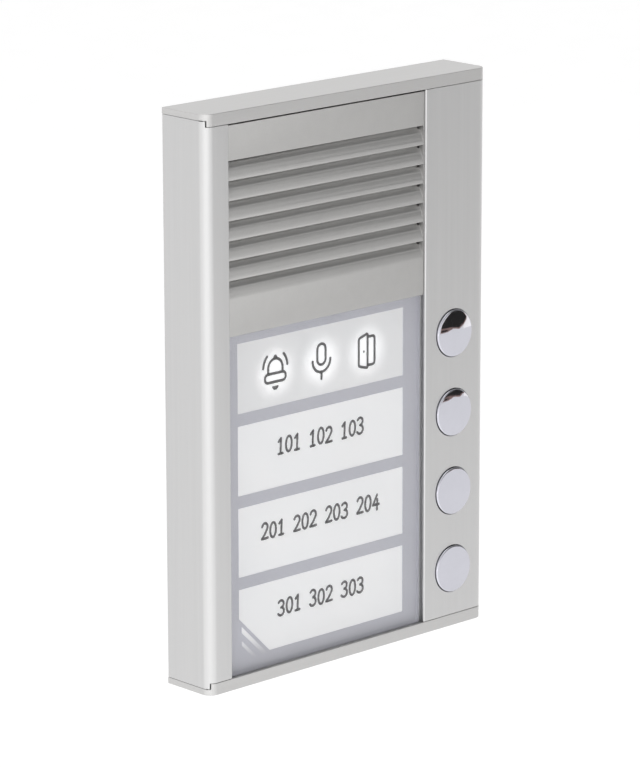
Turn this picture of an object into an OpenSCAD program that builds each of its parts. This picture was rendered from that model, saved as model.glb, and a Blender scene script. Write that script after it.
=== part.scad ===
// Surface-mounted door intercom panel: an extruded housing with end caps, a louvred
// speaker grille, a backlit name window, four call buttons and a wall base.
// X runs to the right as seen from the front, Y runs from the front into the wall,
// Z runs up. The origin is the centre of the back face, which lies on the wall.

/* [Body] */
// Width of the panel
body_w = 119; // [116:1:130]
// Height of the panel, with its end caps
body_h = 180; // [178:1:190]
// Depth of the panel, from the wall to the front rim
body_d = 19.2; // [19.2:0.2:21]
// Thickness of the side walls and of the front rim
wall_t = 1.8; // [1.6:0.1:1.9]
// Radius of the two front vertical corners
corner_r = 3.2; // [2.6:0.1:4]
// Width of the plain rim left of the grille and the window
rim_w = 9.5; // [9:0.5:11]
// Width of the button strip on the right
strip_w = 26.9; // [26.5:0.1:28]

/* [End caps] */
// Thickness of the end plates
cap_t = 2; // [1.6:0.1:2.4]
// Height of the lip that laps over the front of the housing
lip_h = 1.9; // [1.5:0.1:2.5]
// Play between a lip's end and the housing corner
lip_play = 0.35; // [0.2:0.05:0.5]

/* [Speaker grille] */
// Height of the edge where the grille meets the window
grille_z = 21; // [19:0.5:23]
// Depth of the grille face behind the front rim
grille_recess = 0.8; // [0.5:0.1:1]
// Number of slots
louvre_count = 7; // [4:1:7]
// Distance from one slot to the next
louvre_pitch = 6.1; // [5.8:0.1:6.3]
// Height of the top edge of the highest slot
louvre_top = 74.8; // [72:0.2:77]
// Depth that each slat falls back from the grille face
louvre_depth = 2.1; // [1.6:0.1:2.2]

/* [Window] */
// Depth of the pane's face behind the front rim
pane_recess = 1.3; // [1:0.1:1.5]
// Thickness of the pane
pane_t = 2.5; // [2.2:0.1:2.5]
// Number of label fields
field_count = 4; // [3:1:4]
// Width of a label field
field_w = 70.3; // [64:0.1:72]
// Height of a label field
field_h = 21.9; // [20:0.1:23]
// Height of the top edge of the highest label field
field_top = 17.4; // [16:0.2:18]

/* [Buttons] */
// Number of call buttons
button_count = 4; // [1:1:4]
// Distance from one call button to the next, and from one label field to the next
button_pitch = 25.85; // [25:0.05:26]
// Height of the highest call button's centre
button_top = 6.7; // [5:0.1:7]
// Diameter of the chrome caps
button_d = 15.2; // [14:0.1:16]
// Distance that the caps stand proud of the strip
button_proud = 0.85; // [0.6:0.05:1.2]
// Travel of a button
button_travel = 0.8; // [0.5:0.1:0.8]

/* [Wall base] */
// Thickness of the base plate
base_t = 2; // [1.8:0.1:2.2]
// Distance between the wall screws, side to side
wall_screw_dx = 76; // [60:1:84]
// Distance between the wall screws, up and down
wall_screw_dz = 124; // [100:1:130]
// Diameter of the wall screw holes
wall_screw_d = 4.5; // [4:0.1:5]
// Diameter of the largest cable that the grommet takes
cable_d = 8; // [6:0.5:9]

/* [Hidden] */

smooth = 64;
small_round = 32;
half_w = body_w / 2;
plate_z = body_h / 2 - cap_t;
lip_z = plate_z - lip_h;
rim_back = -body_d + wall_t;
open_l = -half_w + rim_w;
open_r = half_w - strip_w;
inner_w = half_w - wall_t;
centre_x = open_l + 6.25 + field_w / 2;
fit_gap = 0.05;
play = 0.1;

// The housing ends just short of the end plates, which leaves a fine shadow line.
seam = 0.07;
housing_end = plate_z - seam;

// The web crosses the housing behind the window and the grille.
web_t = 1.2;
web_front = rim_back + 3.5;
web_back = web_front + web_t;
rail_front = web_front - 1.45;
rail_w = 1.2;
divider_x = open_r + 1.6;
divider_t = 1.4;

// Half the width over which a cap's lip laps the front: it ends mid-way round each corner.
lap = half_w - corner_r * (1 - cos(45));

// Screw ports run the whole height of the housing in its rear corners.
port_x = inner_w - 2.4;
port_y = -8;
port_r = 2.6;
port_hole_r = 1.35;
cap_screw_r = port_hole_r - fit_gap;

// Louvred grille plate and its slats.
grille_front = -body_d + grille_recess;
grille_t = 1.6;
grille_top = lip_z - 0.55;
slat_t = 1;
slat_lip = 0.45;
slot_gap = 0.45;
slat_root = 1.9;
slot_relief = [0.8, 0.75];
relief_front = 1.2;
grille_wall = 0.35;
last_slat_h = 5.8;

// Window stack, from the pane back to the circuit board.
pane_front = -body_d + pane_recess;
pane_back = pane_front + pane_t;
groove_front = rim_back + play;
mask_t = 0.15;
label_t = 0.25;
mask_front = web_front - label_t - mask_t;
mask_low = -plate_z + 0.4;
label_front = web_front - label_t;
label_margin = 1.2;
cut_corner = 12.7;
diffuser_t = 1.9;
board_front = web_back + 3.1;
board_t = 1.6;
board_back = board_front + board_t;
board_w = 2 * (port_x - port_r - 0.7);
board_low = -83;
board_high = 84;
board_screw_r = 1.2;
led_size = [3, 1, 1.4];

// Speaker, centred behind the louvres.
speaker_z = 54;
speaker_r = 24.2;
speaker_flange = 54;
speaker_hole_r = 22.5;
speaker_screw_at = 23.5;
magnet_r = 11;
gasket_t = 0.5;
flange_t = 0.8;
basket_depth = 3;
magnet_depth = 4.2;
board_hole_r = 20;

// Call buttons and what lies behind them.
button_x = half_w - 14.1;
button_r = button_d / 2;
button_hole_r = button_r + 0.2;
button_flange_r = button_r + 0.85;
button_bore_r = button_flange_r + play;
cap_front = -body_d - button_proud;
cap_flange_front = rim_back + play;
cap_back = cap_flange_front + 0.8;
cap_shell = 1.2;
guide_floor = cap_back + 3.5;
guide_back = guide_floor + 1;
stem_r = 2.5;
plunger_r = 1.75;
plunger_front = guide_back + fit_gap;
plunger_len = 1.2;
switch_front = plunger_front + button_travel + 0.05;
switch_w = 6.2;
spring_in_r = 3.3;
spring_out_r = 4.3;
post_r = 2.5;

// Terminals, microphone and wall base.
terminal_size = [28, 5.4, 11];
terminal_z = -16;
terminal_count = 4;
terminal_pitch = 6.4;
mic_y = -13;
mic_r = 3;
mic_h = 2.7;
boot_r = 4.4;
boot_h = 5;
base_play = 0.3;
base_w = 2 * (inner_w - base_play);
base_h = 2 * (plate_z - base_play);
base_front = -base_t;
base_rim = 1.6;
gasket_w = 2;
gasket_depth = 1;
gasket_inset = 3;
pocket_area = [98, 160];
pocket_columns = 3;
pocket_rows = 5;
pocket_depth = 0.6;
rib_t = 2.2;
cable_z = -35;
grommet_r = cable_d / 2 + 2;
grommet_flange = 1.4;
hook_x = 20;
hook_w = 16;
tongue_w = 12;
tongue_front = -5;
tongue_back = -3.6;
lock_y = -5;
lock_r = 1.5;

function button_z(i) = button_top - (i - 1) * button_pitch;
function field_z(i) = field_top - field_h / 2 - i * button_pitch;

// A box between two opposite corners.
module block(low, high) {
    translate(low) cube(high - low);
}

// A round bar along Y, between two depths.
module bar_y(x, z, y1, y2, r, fn = small_round) {
    translate([x, y1, z]) rotate([-90, 0, 0]) cylinder(h = y2 - y1, r = r, $fn = fn);
}

// A solid of revolution about Y: its outline's points are [radius, depth].
module turned_y(x, z, points) {
    translate([x, 0, z]) rotate([-90, 0, 0]) rotate_extrude($fn = smooth) polygon(points);
}

// A countersunk screw along Y with its head towards the wall.
module screw_y(x, z, tip, seat, r, head_r, head_t) {
    difference() {
        union() {
            bar_y(x, z, tip, seat + head_t / 2, r);
            bar_y(x, z, seat, seat + head_t, head_r);
        }
        for (turn = [0, 90])
            translate([x, seat + head_t, z]) rotate([0, turn, 0])
                cube([head_r * 1.3, head_t, head_r * 0.25], center = true);
    }
}

// Plan of the panel, moved inwards by inset and ending at the depth back.
module plan(inset, back) {
    w = half_w - inset;
    front = -body_d + inset;
    r = corner_r - inset;
    translate([-w, front + r]) square([2 * w, back - front - r]);
    translate([-w + r, front]) square([2 * (w - r), back - front]);
    for (side = [-1, 1])
        translate([side * (w - r), front + r]) circle(r = r, $fn = smooth);
}

// Cross-section of the housing extrusion.
module housing_section() {
    difference() {
        plan(0, 0);
        plan(wall_t, 1);
        translate([open_l, -body_d - 1]) square([open_r - open_l, wall_t + 2]);
    }
    translate([-half_w + wall_t / 2, web_front])
        square([divider_x + divider_t + half_w - wall_t / 2, web_t]);
    translate([divider_x, rim_back - wall_t / 2])
        square([divider_t, web_back - rim_back + wall_t / 2]);
    translate([open_l - 1.1 - rail_w, rail_front]) square([rail_w, web_back - rail_front]);
    translate([divider_x - rail_w, rail_front])
        square([rail_w + divider_t / 2, web_back - rail_front]);
    for (side = [-1, 1]) {
        translate([side * port_x, port_y]) circle(r = port_r, $fn = smooth);
        translate([side * (port_x + port_r / 2 + 0.4) - port_r / 2, port_y - 1])
            square([port_r, 2]);
    }
}

module housing_profile() {
    color([0.76, 0.76, 0.75]) difference() {
        translate([0, 0, -housing_end]) linear_extrude(2 * housing_end) housing_section();
        for (side = [0, 1]) mirror([0, 0, side]) {
            block([-lap, -body_d - 1, lip_z], [lap, rim_back, plate_z + 1]);
            for (x = [-port_x, port_x])
                translate([x, port_y, 0]) cylinder(h = plate_z + 1, r = port_hole_r, $fn = smooth);
        }
        for (i = [1 : button_count])
            bar_y(button_x, button_z(i), -body_d - 1, rim_back + 1, button_hole_r, smooth);
        bar_y(centre_x, speaker_z, web_front - 1, web_back + 1, speaker_hole_r, smooth);
        for (dx = [-1, 1], dz = [-1, 1])
            bar_y(centre_x + dx * speaker_screw_at, speaker_z + dz * speaker_screw_at,
                  web_front - 1, web_back + 1, board_screw_r + fit_gap);
        for (i = [0 : field_count - 1])
            block([centre_x - field_w / 2 + 1, web_front - 1, field_z(i) - field_h / 2 + 1],
                  [centre_x + field_w / 2 - 1, web_back + 1, field_z(i) + field_h / 2 - 1]);
    }
}

// An end cap at the top: a plate, its front lip and two pegs in the screw ports.
module end_cap(pegs) {
    translate([0, 0, plate_z]) linear_extrude(cap_t) plan(0, 0);
    lip_end = lap - lip_play;
    intersection() {
        translate([0, 0, lip_z + play / 2]) linear_extrude(lip_h) plan(0, 0);
        block([-lip_end, -body_d - 1, lip_z], [lip_end, rim_back - fit_gap, plate_z + 0.1]);
    }
    if (pegs)
        for (x = [-port_x, port_x])
            translate([x, port_y, plate_z - 8])
                cylinder(h = 8.5, r = port_hole_r - fit_gap, $fn = small_round);
}

module top_cap() {
    color([0.8, 0.8, 0.79]) union() {
        end_cap(true);
        for (x = [-hook_x, hook_x])
            block([x - tongue_w / 2, tongue_front, plate_z - 5.6],
                  [x + tongue_w / 2, tongue_back, plate_z + 0.5]);
    }
}

module bottom_cap() {
    color([0.8, 0.8, 0.79]) difference() {
        mirror([0, 0, 1]) end_cap(false);
        for (x = [-port_x, port_x]) translate([x, port_y, -body_h / 2 - 0.01]) {
            cylinder(h = cap_t + 1, r = cap_screw_r + 0.2, $fn = small_round);
            cylinder(h = 1.3, r1 = 2.75, r2 = cap_screw_r + 0.2, $fn = small_round);
        }
        translate([0, lock_y, -body_h / 2 - 0.01]) {
            cylinder(h = cap_t + 1, r = lock_r + 0.2, $fn = small_round);
            cylinder(h = 1.4, r1 = 3, r2 = lock_r + 0.2, $fn = small_round);
        }
        translate([button_x, mic_y, -body_h / 2 - 1]) cylinder(h = cap_t + 2, r = 0.8, $fn = small_round);
    }
}

// A countersunk screw that points up from the bottom face.
module upward_screw(x, y, r, head_r, length) {
    translate([x, y, -body_h / 2 + 0.1]) difference() {
        union() {
            cylinder(h = length, r = r, $fn = small_round);
            cylinder(h = head_r - r, r1 = head_r, r2 = r, $fn = small_round);
        }
        for (turn = [0, 90]) rotate([0, 0, turn])
            cube([head_r * 1.2, head_r * 0.2, head_r * 0.5], center = true);
    }
}

module bottom_cap_screws() {
    color("silver") for (x = [-port_x, port_x])
        upward_screw(x, port_y, cap_screw_r, 2.5, 10);
}

module lock_screw() {
    color("silver") upward_screw(0, lock_y, lock_r, 2.7, 9);
}

// How far a slat has fallen back at height s, both from 0 at its lip to 1 at its inner edge:
// gently over the lower half, then steeply.
function fall(s) = 0.66 * pow(s, 1.2) + 0.34 * pow(max(0, 2 * s - 1), 1.3);

// One slat as a cross-section: [depth, height] up its face and back down behind it.
function slat(z_low, z_high, lip) = concat(
    [[grille_front, z_low], [grille_front, z_low + lip]],
    [for (s = [0.1 : 0.1 : 1])
        [grille_front + louvre_depth * fall(s), z_low + lip + s * (z_high - z_low - lip)]],
    [[grille_front + louvre_depth + slat_t, z_high], [grille_front + slat_root, z_low]]
);

module across_grille(points) {
    translate([open_l + play, 0, 0]) rotate([90, 0, 90])
        linear_extrude(open_r - open_l - 2 * play) polygon(points);
}

module speaker_grille() {
    grille_l = open_l + play;
    grille_r = open_r - fit_gap;
    louvre_low = louvre_top - (louvre_count - 1) * louvre_pitch - last_slat_h;
    wall_l = grille_r - grille_wall;
    color([0.72, 0.72, 0.71]) difference() {
        grille_body(grille_l, grille_r, louvre_low);
        for (i = [0 : louvre_count - 1]) {
            slot_z = louvre_top - i * louvre_pitch - slot_gap;
            block([wall_l - slot_relief[0], grille_front + relief_front, slot_z - slot_relief[1]],
                  [wall_l, grille_front + louvre_depth + 2 * slat_t, slot_z + 0.1]);
        }
    }
}

// The face above and below the louvres, the slats, the wall at their right-hand ends, and
// the edges that slide in the grooves.
module grille_body(grille_l, grille_r, louvre_low) {
    wall_back = grille_front + louvre_depth + slat_t;
    union() {
        block([grille_l, grille_front, louvre_top], [grille_r, grille_front + grille_t, grille_top]);
        block([grille_l, grille_front, grille_z], [grille_r, grille_front + grille_t, louvre_low]);
        block([grille_r - grille_wall, grille_front, louvre_low - slat_lip],
              [grille_r, wall_back, louvre_top + slat_lip]);
        for (i = [0 : louvre_count - 1]) {
            last = i == louvre_count - 1;
            z_high = louvre_top - i * louvre_pitch - slot_gap;
            z_low = last ? louvre_low : louvre_top - (i + 1) * louvre_pitch;
            across_grille(slat(z_low, z_high, last ? 0 : slat_lip));
        }
        for (edge = [[open_l - 2, grille_l + 0.2], [grille_r - 0.2, divider_x - play]])
            block([edge[0], groove_front, grille_z], [edge[1], rail_front - fit_gap, plate_z - play]);
    }
}

module sound_mesh() {
    color([0.1, 0.1, 0.1]) block([open_l, web_front - 0.25, 28], [open_r - 1, web_front, 81]);
}

module window_pane() {
    pane_low = -lip_z + play;
    color([0.8, 0.85, 0.9, 0.4]) union() {
        block([open_l + 0.2, pane_front, pane_low], [open_r - 0.35, pane_back, grille_z - 0.15]);
        block([open_l - 1.9, groove_front, -plate_z + play],
              [divider_x - 0.2, pane_back, grille_z - 0.15]);
    }
}

// Outline of label field i, moved outwards by grow; the lowest has its corner cut.
module field_outline(i, grow) {
    w = field_w / 2 + grow;
    h = field_h / 2 + grow;
    cut = i == field_count - 1 ? cut_corner : 0;
    polygon([[-w + cut, -h], [w, -h], [w, h], [-w, h], [-w, -h + cut]]);
}

module at_field(i, y, t) {
    translate([centre_x, y + t, field_z(i)]) rotate([90, 0, 0]) linear_extrude(t) children();
}

// The foil in front of the labels, with its right-hand edge folded forward along the rail.
module label_mask() {
    mask_r = divider_x - rail_w - play;
    mask_high = grille_z - 0.4;
    color([0.68, 0.68, 0.73]) difference() {
        union() {
            block([open_l - 0.9, mask_front, mask_low], [mask_r, label_front, mask_high]);
            block([mask_r - mask_t, pane_back + fit_gap, mask_low], [mask_r, label_front, mask_high]);
        }
        for (i = [0 : field_count - 1]) at_field(i, mask_front - 1, mask_t + 2) field_outline(i, 0);
    }
}

module label(i) {
    color("white") at_field(i, label_front, label_t) field_outline(i, label_margin);
}

module light_diffuser() {
    color([0.95, 0.95, 0.95, 0.8])
        block([centre_x - field_w / 2 - 2, web_back + fit_gap, -84],
              [centre_x + field_w / 2 + 2, web_back + fit_gap + diffuser_t, 19]);
}

module backlight_leds() {
    color("ivory") for (i = [0 : field_count - 1], column = [-1.5 : 1 : 1.5])
        translate([centre_x + column * field_w / 4 - led_size[0] / 2,
                   board_front - led_size[1], field_z(i) - led_size[2] / 2])
            cube(led_size);
}

// Places on the left edge of the board and between the button bores.
standoffs = [for (z = [-76, 2, 80]) [-half_w + 9.6, z]];
guide_posts = [for (i = [1 : 2 : button_count - 1]) [button_x, button_z(i) - button_pitch / 2]];

module circuit_board() {
    color([0.1, 0.35, 0.2]) difference() {
        block([-board_w / 2, board_front, board_low], [board_w / 2, board_back, board_high]);
        bar_y(centre_x, speaker_z, board_front - 1, board_back + 1, board_hole_r, smooth);
        for (p = concat(standoffs, guide_posts))
            bar_y(p[0], p[1], board_front - 1, board_back + 1, board_screw_r + 0.15);
    }
}

module circuit_chips() {
    color([0.12, 0.12, 0.13]) {
        for (p = [[-30, 14, 10, 10], [22, 10, 7, 7], [30, -46, 9, 5], [-34, -40, 5, 6], [33, 60, 6, 5]])
            translate([p[0] - p[2] / 2, board_back, p[1] - p[3] / 2]) cube([p[2], 1.3, p[3]]);
    }
}

module capacitors() {
    color([0.2, 0.2, 0.3]) for (p = [[34, 24], [34, 34], [-38, -60], [-28, -60]])
        bar_y(p[0], p[1], board_back, board_back + 4.6, 3);
}

module board_standoffs() {
    color("goldenrod") for (p = standoffs) difference() {
        bar_y(p[0], p[1], web_back, board_front, 2.2);
        bar_y(p[0], p[1], web_back - 1, board_front + 1, board_screw_r + fit_gap);
    }
}

module board_screws() {
    color("silver") for (p = concat(standoffs, guide_posts))
        screw_y(p[0], p[1], board_front - 2, board_back, board_screw_r, 2.2, 1.4);
}

module terminal_block() {
    low = [-terminal_size[0] / 2, board_back, terminal_z - terminal_size[2] / 2];
    color([0.15, 0.45, 0.3]) difference() {
        block(low, low + terminal_size);
        for (i = [0 : terminal_count - 1]) {
            x = (i - (terminal_count - 1) / 2) * terminal_pitch;
            bar_y(x, terminal_z, board_back + 2.6, board_back + terminal_size[1] + 1, 2.05);
            translate([x, board_back + 2.2, low[2] - 1]) cylinder(h = 5, r = 1.3, $fn = small_round);
        }
    }
}

module terminal_screws() {
    color("silver") for (i = [0 : terminal_count - 1])
        screw_y((i - (terminal_count - 1) / 2) * terminal_pitch, terminal_z,
                board_back + 2.6, board_back + 3.4, 1.3, 1.95, 1.2);
}

module speaker_gasket() {
    color([0.1, 0.1, 0.1]) difference() {
        bar_y(centre_x, speaker_z, web_back, web_back + gasket_t, speaker_r + 1.6, smooth);
        bar_y(centre_x, speaker_z, web_back - 1, web_back + gasket_t + 1, speaker_hole_r, smooth);
    }
}

module speaker_frame() {
    y0 = web_back + gasket_t;
    y1 = y0 + flange_t;
    y2 = y1 + basket_depth;
    wall = 0.8;
    color([0.2, 0.2, 0.22]) union() {
        difference() {
            block([centre_x - speaker_flange / 2, y0, speaker_z - speaker_flange / 2],
                  [centre_x + speaker_flange / 2, y1, speaker_z + speaker_flange / 2]);
            bar_y(centre_x, speaker_z, y0 - 1, y1 + 1, speaker_hole_r, smooth);
            for (dx = [-1, 1], dz = [-1, 1])
                bar_y(centre_x + dx * speaker_screw_at, speaker_z + dz * speaker_screw_at,
                      y0 - 1, y1 + 1, board_screw_r + 0.15);
        }
        turned_y(centre_x, speaker_z,
                 [[speaker_hole_r, y0], [speaker_hole_r + wall, y0], [speaker_hole_r + wall, y1],
                  [magnet_r + 1, y2], [5, y2], [5, y2 - wall], [magnet_r, y2 - wall],
                  [speaker_hole_r, y1 - wall / 2]]);
    }
}

module speaker_magnet() {
    y = web_back + gasket_t + flange_t + basket_depth;
    color([0.35, 0.35, 0.37]) union() {
        bar_y(centre_x, speaker_z, y, y + magnet_depth, magnet_r, smooth);
        bar_y(centre_x, speaker_z, y - 1.6, y + 0.5, 4, smooth);
    }
}

module speaker_cone() {
    y = web_back + gasket_t + 0.1;
    film = 0.25;
    color([0.16, 0.16, 0.17]) turned_y(centre_x, speaker_z,
        [[0, y + 0.4], [3, y + 0.6], [6, y + 1.5], [19.5, y], [21, y - 0.3], [speaker_hole_r, y],
         [speaker_hole_r, y + film], [21, y - 0.3 + film], [19.5, y + film], [6, y + 1.5 + film],
         [3, y + 0.6 + film], [0, y + 0.4 + film]]);
}

module speaker_screws() {
    seat = web_back + gasket_t + flange_t;
    color("silver") for (dx = [-1, 1], dz = [-1, 1])
        screw_y(centre_x + dx * speaker_screw_at, speaker_z + dz * speaker_screw_at,
                web_front + 0.05, seat, board_screw_r, 2.1, 1);
}

// Two short leads from the speaker's magnet to the board below the board's round hole.
module speaker_leads() {
    lead_r = 0.5;
    lead_y = board_back + 1.2;
    low = speaker_z - board_hole_r - 3;
    color("firebrick") for (dx = [-1.5, 1.5]) translate([centre_x + dx, 0, 0]) {
        translate([0, lead_y, low])
            cylinder(h = speaker_z - magnet_r - 0.1 - low, r = lead_r, $fn = small_round);
        translate([0, lead_y, low]) sphere(r = lead_r, $fn = small_round);
        bar_y(0, low, board_back, lead_y, lead_r);
    }
}

module microphone() {
    color([0.7, 0.7, 0.7])
        translate([button_x, mic_y, -plate_z + 1.2]) cylinder(h = mic_h, r = mic_r, $fn = smooth);
}

module microphone_boot() {
    color([0.08, 0.08, 0.08]) translate([button_x, mic_y, -plate_z]) difference() {
        cylinder(h = boot_h, r = boot_r, $fn = smooth);
        translate([0, 0, 1.2]) cylinder(h = boot_h, r = mic_r, $fn = smooth);
        translate([0, 0, -1]) cylinder(h = 3, r = 1, $fn = small_round);
    }
}

// A chrome cap: a slightly crowned face, a bevelled edge and a flange behind the strip.
module call_button(i) {
    bevel = 0.4;
    crown = 0.18;
    face_r = button_r - bevel;
    face = [for (s = [0 : 0.125 : 1]) [s * face_r, cap_front + crown * s * s]];
    edge = [for (a = [15 : 15 : 90])
        [face_r + bevel * sin(a), cap_front + crown + bevel * (1 - cos(a))]];
    color([0.85, 0.85, 0.88]) turned_y(button_x, button_z(i), concat(face, edge,
        [[button_r, cap_flange_front], [button_flange_r, cap_flange_front],
         [button_flange_r, cap_back], [button_r - cap_shell, cap_back],
         [button_r - cap_shell, cap_front + 1.6], [0, cap_front + 1.6]]));
}

module button_stem(i) {
    color([0.12, 0.12, 0.13]) union() {
        bar_y(button_x, button_z(i), cap_front + 1.65, cap_back, button_r - cap_shell - 0.05, smooth);
        bar_y(button_x, button_z(i), cap_back - 0.5, guide_back, stem_r, smooth);
    }
}

module return_spring(i) {
    color("lightsteelblue") difference() {
        bar_y(button_x, button_z(i), cap_back + fit_gap, guide_floor - fit_gap, spring_out_r);
        bar_y(button_x, button_z(i), cap_back - 1, guide_floor + 1, spring_in_r);
    }
}

module switch_plunger(i) {
    color([0.3, 0.15, 0.1])
        bar_y(button_x, button_z(i), plunger_front, plunger_front + plunger_len, plunger_r);
}

module tact_switches() {
    color([0.25, 0.25, 0.26]) for (i = [1 : button_count]) difference() {
        block([button_x - switch_w / 2, switch_front, button_z(i) - switch_w / 2],
              [button_x + switch_w / 2, board_front, button_z(i) + switch_w / 2]);
        bar_y(button_x, button_z(i), switch_front - 1, board_front - 0.2, plunger_r + fit_gap);
    }
}

module button_guide() {
    low_z = button_z(button_count) - button_bore_r - 1;
    high_z = button_z(1) + button_bore_r + 1;
    color([0.15, 0.15, 0.16]) difference() {
        union() {
            block([divider_x + divider_t + play, cap_flange_front, low_z],
                  [inner_w - corner_r + wall_t - play, guide_back, high_z]);
            for (p = guide_posts) bar_y(p[0], p[1], guide_back - 0.5, board_front, post_r);
        }
        for (i = [1 : button_count]) {
            bar_y(button_x, button_z(i), cap_flange_front - 1, guide_floor, button_bore_r, smooth);
            bar_y(button_x, button_z(i), guide_floor - 1, guide_back + 1, stem_r + fit_gap, smooth);
        }
        for (p = guide_posts)
            bar_y(p[0], p[1], board_front - 2.3, board_front + 1, board_screw_r + fit_gap);
    }
}

// A flat ring with a rectangular outline, standing on the wall.
module wall_ring(inset, width, y1, y2) {
    w = base_w / 2 - inset;
    h = base_h / 2 - inset;
    difference() {
        block([-w, y1, -h], [w, y2, h]);
        block([-w + width, y1 - 1, -h + width], [w - width, y2 + 1, h - width]);
    }
}

// Shallow pockets in the wall side: ribs, round pads and a solid middle are left standing.
module base_pockets() {
    cell = [pocket_area[0] / pocket_columns, pocket_area[1] / pocket_rows];
    difference() {
        for (column = [0 : pocket_columns - 1], row = [0 : pocket_rows - 1])
            if (column != (pocket_columns - 1) / 2 || row != (pocket_rows - 1) / 2)
                translate([-pocket_area[0] / 2 + column * cell[0], 0,
                           -pocket_area[1] / 2 + row * cell[1]])
                    block([rib_t / 2, -pocket_depth, rib_t / 2],
                          [cell[0] - rib_t / 2, 1, cell[1] - rib_t / 2]);
        bar_y(0, cable_z, -base_t, 2, grommet_r + 2.5, smooth);
        for (x = [-wall_screw_dx / 2, wall_screw_dx / 2], z = [-wall_screw_dz / 2, wall_screw_dz / 2])
            bar_y(x, z, -base_t, 2, wall_screw_d / 2 + 3.5, smooth);
    }
}

// A shallow arrow that points up, above the middle of the wall side.
module up_mark() {
    translate([0, 1, 6]) rotate([90, 0, 0]) linear_extrude(1 + pocket_depth)
        polygon([[-4, 0], [0, 6], [4, 0]]);
}

module rear_base() {
    color([0.2, 0.2, 0.21]) difference() {
        union() {
            block([-base_w / 2, base_front, -base_h / 2], [base_w / 2, 0, base_h / 2]);
            wall_ring(0, base_rim, base_front - 1.6, base_front + 0.5);
            for (x = [-hook_x, hook_x])
                block([x - hook_w / 2, tongue_front - 1.6, plate_z - 8],
                      [x + hook_w / 2, base_front, plate_z - base_play]);
            block([-6, lock_y - 2.9, -base_h / 2], [6, base_front, -base_h / 2 + 7]);
        }
        wall_ring(gasket_inset, gasket_w, -gasket_depth, 1);
        base_pockets();
        up_mark();
        for (x = [-hook_x, hook_x])
            block([x - tongue_w / 2 - 0.2, tongue_front - 0.15, plate_z - 6],
                  [x + tongue_w / 2 + 0.2, tongue_back + 0.15, plate_z + 1]);
        translate([0, lock_y, -base_h / 2 - 1]) cylinder(h = 9, r = lock_r + fit_gap, $fn = small_round);
        bar_y(0, cable_z, base_front - 1, 1, grommet_r, smooth);
        for (x = [-wall_screw_dx / 2, wall_screw_dx / 2], z = [-wall_screw_dz / 2, wall_screw_dz / 2])
            bar_y(x, z, base_front - 1, 1, wall_screw_d / 2, smooth);
    }
}

module wall_gasket() {
    color([0.1, 0.1, 0.1]) wall_ring(gasket_inset, gasket_w, -gasket_depth, 0);
}

module cable_grommet() {
    color([0.07, 0.07, 0.07]) difference() {
        union() {
            bar_y(0, cable_z, base_front, 0, grommet_r, smooth);
            bar_y(0, cable_z, base_front - grommet_flange, base_front, grommet_r + 1.8, smooth);
        }
        bar_y(0, cable_z, base_front - grommet_flange - 1, 1, cable_d / 2, smooth);
    }
}

housing_profile();
top_cap();
bottom_cap();
bottom_cap_screws();
lock_screw();
speaker_grille();
sound_mesh();
window_pane();
label_mask();
label(0);  // icon_label
light_diffuser();
backlight_leds();
circuit_board();
circuit_chips();
capacitors();
board_standoffs();
board_screws();
terminal_block();
terminal_screws();
speaker_gasket();
speaker_frame();
speaker_magnet();
speaker_cone();
speaker_screws();
speaker_leads();
microphone();
microphone_boot();
tact_switches();
button_guide();
rear_base();
wall_gasket();
cable_grommet();
for (i = [1 : field_count - 1])
    label(i);
for (i = [1 : button_count]) {
    call_button(i);
    button_stem(i);
    return_spring(i);
    switch_plunger(i);
}
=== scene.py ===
"""Looks of a wall-mounted door intercom panel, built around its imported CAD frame.

X runs across the panel, Z up it, and -Y out of the wall. Lengths are in metres.
"""
import math
import random

import bmesh
import bpy
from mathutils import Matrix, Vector


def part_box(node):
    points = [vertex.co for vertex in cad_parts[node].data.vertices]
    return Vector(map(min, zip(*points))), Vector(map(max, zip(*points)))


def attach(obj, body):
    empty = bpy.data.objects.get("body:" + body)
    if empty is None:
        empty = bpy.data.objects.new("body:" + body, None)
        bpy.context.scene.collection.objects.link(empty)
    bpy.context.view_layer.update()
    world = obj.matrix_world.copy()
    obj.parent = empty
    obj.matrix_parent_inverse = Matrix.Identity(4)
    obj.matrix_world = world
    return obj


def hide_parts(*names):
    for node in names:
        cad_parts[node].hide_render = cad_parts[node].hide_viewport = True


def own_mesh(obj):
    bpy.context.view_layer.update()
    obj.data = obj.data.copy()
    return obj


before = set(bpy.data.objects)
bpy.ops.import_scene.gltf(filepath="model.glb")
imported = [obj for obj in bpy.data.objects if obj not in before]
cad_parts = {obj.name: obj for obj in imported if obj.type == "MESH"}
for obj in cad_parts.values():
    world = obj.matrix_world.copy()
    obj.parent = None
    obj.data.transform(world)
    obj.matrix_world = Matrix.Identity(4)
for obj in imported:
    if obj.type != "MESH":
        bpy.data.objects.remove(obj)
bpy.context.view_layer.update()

MM = 0.001
BUTTONS = (1, 2, 3, 4)
NAMES = (1, 2, 3)


# ---------------------------------------------------------------- colours and glow

ALUMINIUM = (0.598, 0.596, 0.596)
CAP_METAL = (0.592, 0.587, 0.582)
GRILLE_METAL = (0.505, 0.50, 0.492)
CHROME = (0.60, 0.60, 0.655)
FOIL = (0.545, 0.545, 0.595)
FILM = (0.86, 0.86, 0.86)
INK = (0.08, 0.08, 0.08)
PEN_INK = (0.05, 0.046, 0.048)
BLACK = (0.02, 0.02, 0.022)
WHITE = (1.0, 1.0, 1.0)

# painted glow on the grey foil, which lightens the shade that the pane and the walls beside it leave
# on it
FOIL_PAINTED_GLOW = 0.215
ICON_GLOW = 0.25
NAME_GLOW = 0.335
HALO = 10 * MM           # how far the brighter light round each symbol reaches
HALO_CORE = 0.3          # share of that reach over which it is even
HALO_LIFT = 0.36         # added to the glow in the middle of a halo
FLOOR_GLOW = 0.25
FLOOR_LIT = 0.28         # added to the glow on the camera's side
PALE_GLOW = 0.6


# ---------------------------------------------------------------- materials

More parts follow.
